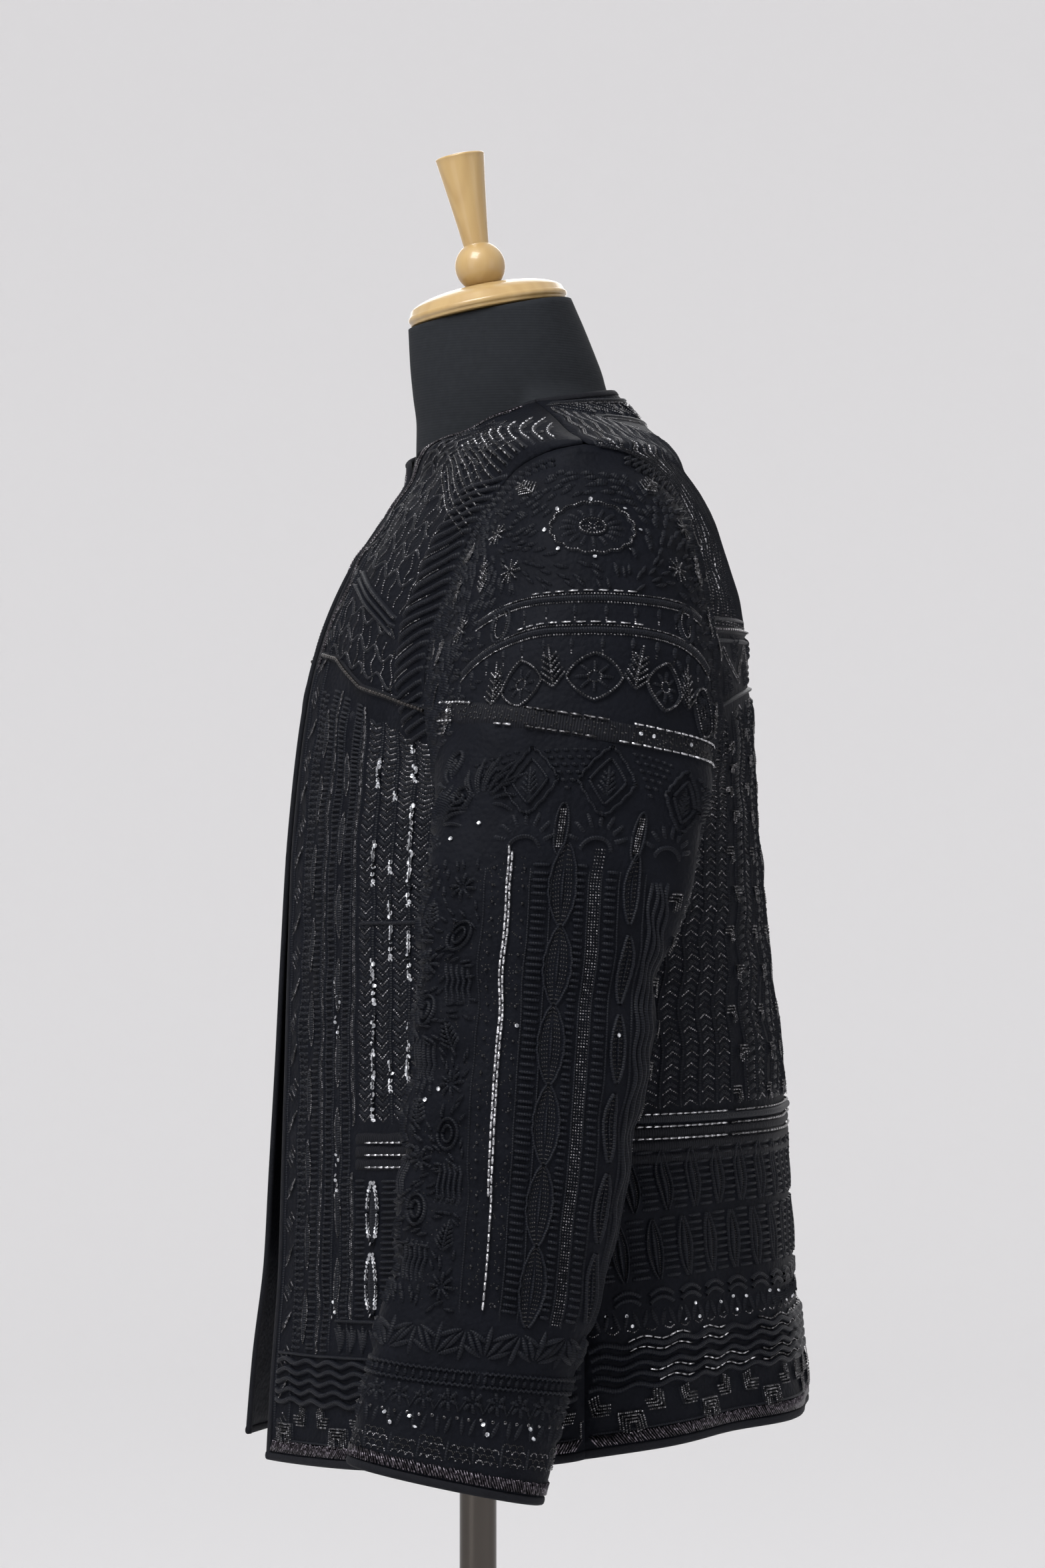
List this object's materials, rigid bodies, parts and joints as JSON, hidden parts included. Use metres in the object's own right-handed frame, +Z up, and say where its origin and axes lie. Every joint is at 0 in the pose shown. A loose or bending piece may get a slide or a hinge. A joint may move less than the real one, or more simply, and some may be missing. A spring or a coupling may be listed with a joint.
{
  "type": "embroidered evening jacket on a dress form",
  "caption": "Open-fronted, collarless, hip-length embroidered evening jacket with set-in sleeves, hung on a limbless dress form with a wooden neck cap, steel pole and round base.",
  "frame": {"origin": "centre of the stand base's underside, on the pole's axis", "axes": "+Z up along the pole, -Y to the jacket's front, +X to the wearer's left"},
  "size_m": [0.6366, 0.3919, 1.5874],
  "materials": {
    "embroidered_cloth": "matt cloth covered with satin-stitch padding, cords and beads",
    "plain_binding": "plain folded cloth, dull",
    "corded_trim": "cord covered with thread and beads, slight sheen",
    "form_cover": "fine charcoal jersey, dull",
    "lacquered_wood": "pale turned wood, clear gloss lacquer",
    "polished_steel": "polished",
    "painted_iron": "dark grey paint, satin"
  },
  "bodies": {
    "root": {"front_left": "embroidered_cloth", "front_right": "embroidered_cloth", "back": "embroidered_cloth", "sleeve_left": "embroidered_cloth", "sleeve_right": "embroidered_cloth", "front_binding_left": "plain_binding", "front_binding_right": "plain_binding", "back_neck_binding": "plain_binding", "hem_binding_left": "plain_binding", "hem_binding_right": "plain_binding", "hem_binding_back": "plain_binding", "cuff_binding_left": "plain_binding", "cuff_binding_right": "plain_binding", "waist_welts_left": "corded_trim", "waist_welts_right": "corded_trim", "waist_welts_back": "corded_trim", "yoke_cord_left": "corded_trim", "yoke_cord_right": "corded_trim", "yoke_cord_back": "corded_trim", "sleeve_band_left": "corded_trim", "sleeve_band_right": "corded_trim", "form_torso": "form_cover", "neck_cap": "lacquered_wood", "finial": "lacquered_wood", "stand_base": "painted_iron", "form_plate": "painted_iron", "pole": "polished_steel"}
  },
  "joints": []
}
